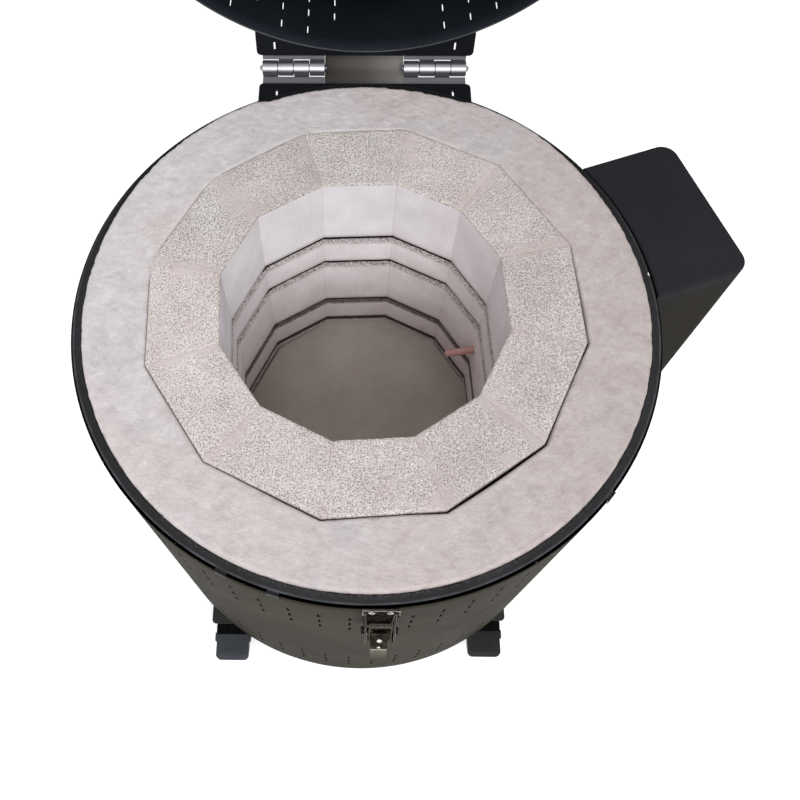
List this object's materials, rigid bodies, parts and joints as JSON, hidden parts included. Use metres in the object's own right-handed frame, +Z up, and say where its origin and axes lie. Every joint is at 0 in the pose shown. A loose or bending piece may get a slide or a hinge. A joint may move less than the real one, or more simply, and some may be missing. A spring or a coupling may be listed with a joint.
{
  "type": "electric pottery kiln",
  "caption": "Round top-loading electric kiln with a hinged lid, fire brick chamber, perforated steel casing, side control box, draw latch and swivel casters",
  "frame": {"origin": "on the floor, under the vertical axis of the round firing chamber", "axes": "+Z up, -Y the front with the latch, +Y the hinge side, +X the side of the control box"},
  "size_m": [0.6274, 0.772, 1.09],
  "materials": {
    "casing_paint": "satin",
    "ring_steel": "satin",
    "shell_steel": "dull",
    "ceramic_fibre": "matt",
    "fire_brick": "matt, porous",
    "floor_brick": "matt",
    "element_wire": "oxidised",
    "white_ceramic": "matt",
    "sheath_ceramic": "matt",
    "stainless": "brushed",
    "latch_nickel": "polished",
    "box_paint": "satin",
    "zinc_steel": "zinc plated",
    "controller_plastic": "matt",
    "display_plastic": "gloss",
    "key_plastic": "matt",
    "switch_plastic": "satin",
    "lamp_plastic": "gloss",
    "sink_aluminium": "extruded",
    "wheel_rubber": "matt",
    "pedal_plastic": "matt",
    "handle_plastic": "matt",
    "lid_insulation": "matt"
  },
  "bodies": {
    "kiln": {"base_channels": "shell_steel", "base_insulation": "ceramic_fibre", "base_plate": "shell_steel", "body_hinge_bracket": "stainless", "box_mount_bolts": "zinc_steel", "box_screws": "zinc_steel", "caster_bolts": "zinc_steel", "caster_plates": "zinc_steel", "control_box_back": "shell_steel", "control_box_body": "box_paint", "controller_housing": "controller_plastic", "cord_gland": "switch_plastic", "display_window": "display_plastic", "element_leads": "element_wire", "fibre_wrap": "ceramic_fibre", "floor_slab": "floor_brick", "heating_elements": "element_wire", "hinge_lower_leaves": "stainless", "hinge_pins": "stainless", "inner_shell": "shell_steel", "latch_base": "latch_nickel", "latch_pivot_pin": "latch_nickel", "latch_rivets": "latch_nickel", "lead_bushes": "white_ceramic", "lid_stop_plate": "stainless", "outer_casing": "casing_paint", "pilot_lamp": "lamp_plastic", "relay_module": "sink_aluminium", "rim_ring": "ring_steel", "switch_body": "switch_plastic", "terminal_block": "key_plastic", "thermocouple_head": "white_ceramic", "thermocouple_sheath": "sheath_ceramic", "wall_bricks": "fire_brick"},
    "lid": {"lid_skirt": "casing_paint", "lid_top_sheet": "casing_paint", "lid_insulation": "lid_insulation", "lid_hinge_bracket": "stainless", "hinge_upper_leaves": "stainless", "lid_handle": "handle_plastic", "lid_handle_posts": "zinc_steel", "latch_keeper": "latch_nickel", "keeper_rivets": "latch_nickel"},
    "latch_lever": {"latch_lever": "latch_nickel"},
    "latch_link": {"latch_link": "latch_nickel", "latch_link_pin": "latch_nickel"},
    "key_set": {"key_set": "key_plastic"},
    "key_down": {"key_down": "key_plastic"},
    "key_up": {"key_up": "key_plastic"},
    "power_rocker": {"power_rocker": "switch_plastic"},
    "fork_front_left": {"caster_fork_front_left": "zinc_steel"},
    "wheel_front_left": {"caster_wheel_front_left": "wheel_rubber"},
    "fork_front_right": {"caster_fork_front_right": "zinc_steel"},
    "wheel_front_right": {"caster_wheel_front_right": "wheel_rubber"},
    "fork_rear_left": {"caster_fork_rear_left": "zinc_steel"},
    "wheel_rear_left": {"caster_wheel_rear_left": "wheel_rubber"},
    "fork_rear_right": {"caster_fork_rear_right": "zinc_steel"},
    "wheel_rear_right": {"caster_wheel_rear_right": "wheel_rubber"},
    "pedal_left": {"brake_pedal_left": "pedal_plastic"},
    "pedal_right": {"brake_pedal_right": "pedal_plastic"}
  },
  "joints": [
    {"name": "lid_hinge", "type": "hinge", "parent": "kiln", "child": "lid", "pos_m": [0, 0.2847, 0.5075], "axis": [1, 0, 0], "range_deg": [0, 98.9]},
    {"name": "latch_lever_pivot", "type": "hinge", "parent": "kiln", "child": "latch_lever", "pos_m": [0.0116, -0.2755, 0.457], "axis": [-1, 0, 0], "range_deg": [0, 150]},
    {"name": "latch_link_pivot", "type": "hinge", "parent": "latch_lever", "child": "latch_link", "pos_m": [0.0116, -0.28, 0.446], "axis": [-1, 0, 0], "range_deg": [-150, 0]},
    {"name": "key_set_press", "type": "slide", "parent": "kiln", "child": "key_set", "axis": [-0.9421, -0.3355, 0], "range_m": [0, 0.0008], "stiffness_N_per_m": 600},
    {"name": "key_down_press", "type": "slide", "parent": "kiln", "child": "key_down", "axis": [-0.9421, -0.3355, 0], "range_m": [0, 0.0008], "stiffness_N_per_m": 600},
    {"name": "key_up_press", "type": "slide", "parent": "kiln", "child": "key_up", "axis": [-0.9421, -0.3355, 0], "range_m": [0, 0.0008], "stiffness_N_per_m": 600},
    {"name": "power_rocker_tilt", "type": "hinge", "parent": "kiln", "child": "power_rocker", "pos_m": [0.33871, 0.09513, 0.323], "axis": [0, 0, -1], "range_deg": [0, 18]},
    {"name": "swivel_front_left", "type": "hinge", "parent": "kiln", "child": "fork_front_left", "pos_m": [-0.1575, -0.191, 0.061], "axis": [0, 0, 1], "continuous": true},
    {"name": "roll_front_left", "type": "hinge", "parent": "fork_front_left", "child": "wheel_front_left", "pos_m": [-0.1575, -0.213, 0.025], "axis": [1, 0, 0], "continuous": true},
    {"name": "brake_left", "type": "hinge", "parent": "fork_front_left", "child": "pedal_left", "pos_m": [-0.1575, -0.22, 0.0515], "axis": [-1, 0, 0], "range_deg": [0, 20]},
    {"name": "swivel_front_right", "type": "hinge", "parent": "kiln", "child": "fork_front_right", "pos_m": [0.157, -0.184, 0.061], "axis": [0, 0, 1], "continuous": true},
    {"name": "roll_front_right", "type": "hinge", "parent": "fork_front_right", "child": "wheel_front_right", "pos_m": [0.157, -0.206, 0.025], "axis": [1, 0, 0], "continuous": true},
    {"name": "brake_right", "type": "hinge", "parent": "fork_front_right", "child": "pedal_right", "pos_m": [0.157, -0.213, 0.0515], "axis": [-1, 0, 0], "range_deg": [0, 20]},
    {"name": "swivel_rear_left", "type": "hinge", "parent": "kiln", "child": "fork_rear_left", "pos_m": [-0.16, 0.183, 0.061], "axis": [0, 0, 1], "continuous": true},
    {"name": "roll_rear_left", "type": "hinge", "parent": "fork_rear_left", "child": "wheel_rear_left", "pos_m": [-0.16, 0.161, 0.025], "axis": [1, 0, 0], "continuous": true},
    {"name": "swivel_rear_right", "type": "hinge", "parent": "kiln", "child": "fork_rear_right", "pos_m": [0.158, 0.183, 0.061], "axis": [0, 0, 1], "continuous": true},
    {"name": "roll_rear_right", "type": "hinge", "parent": "fork_rear_right", "child": "wheel_rear_right", "pos_m": [0.158, 0.161, 0.025], "axis": [1, 0, 0], "continuous": true}
  ],
  "couplings": [
    {"joint": "latch_link_pivot", "follows": "latch_lever_pivot", "ratio": -1}
  ]
}
